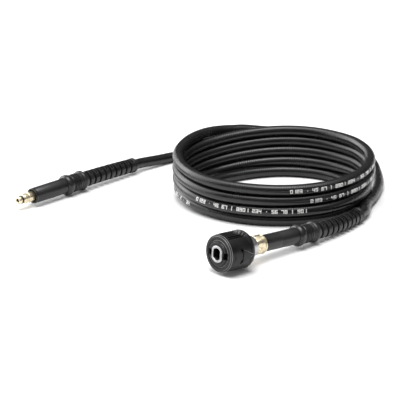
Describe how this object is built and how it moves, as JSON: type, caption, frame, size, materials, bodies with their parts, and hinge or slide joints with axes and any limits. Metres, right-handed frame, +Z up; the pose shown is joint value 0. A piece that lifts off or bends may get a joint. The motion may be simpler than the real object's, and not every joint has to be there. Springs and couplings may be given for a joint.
{
  "type": "pressure washer hose",
  "caption": "Coiled high-pressure rubber hose with a brass plug nipple at one end and a quick coupling with a pull-back collar at the other.",
  "frame": {"origin": "middle of the base of the whole lying hose's bounding box, on the floor", "axes": "+Z up, +X from the plug end towards the coil, +Y from the coupling towards the coil's far side"},
  "size_m": [0.4442, 0.4268, 0.0567],
  "materials": {
    "hose_rubber": "satin black",
    "moulded_black": "satin black",
    "collar_black": "fine-grained black",
    "brass": "turned",
    "coupling_metal": "satin",
    "seal_rubber": "matt black"
  },
  "bodies": {
    "hose": {"hose_coil": "hose_rubber", "hose_tail_outlet": "hose_rubber", "hose_tail_inlet": "hose_rubber", "plug_nipple": "brass", "plug_o_ring": "seal_rubber", "plug_sleeve": "moulded_black", "plug_bend_restrictor": "moulded_black", "coupling_body": "coupling_metal", "coupling_stem": "brass", "coupling_sleeve": "moulded_black", "coupling_bend_restrictor": "moulded_black"},
    "collar": {"coupling_collar": "collar_black"}
  },
  "joints": [
    {"name": "collar_slide", "type": "slide", "parent": "hose", "child": "collar", "axis": [0.7318, 0.6776, -0.0732], "range_m": [0, 0.007], "stiffness_N_per_m": 1500, "springref_m": -0.004}
  ]
}
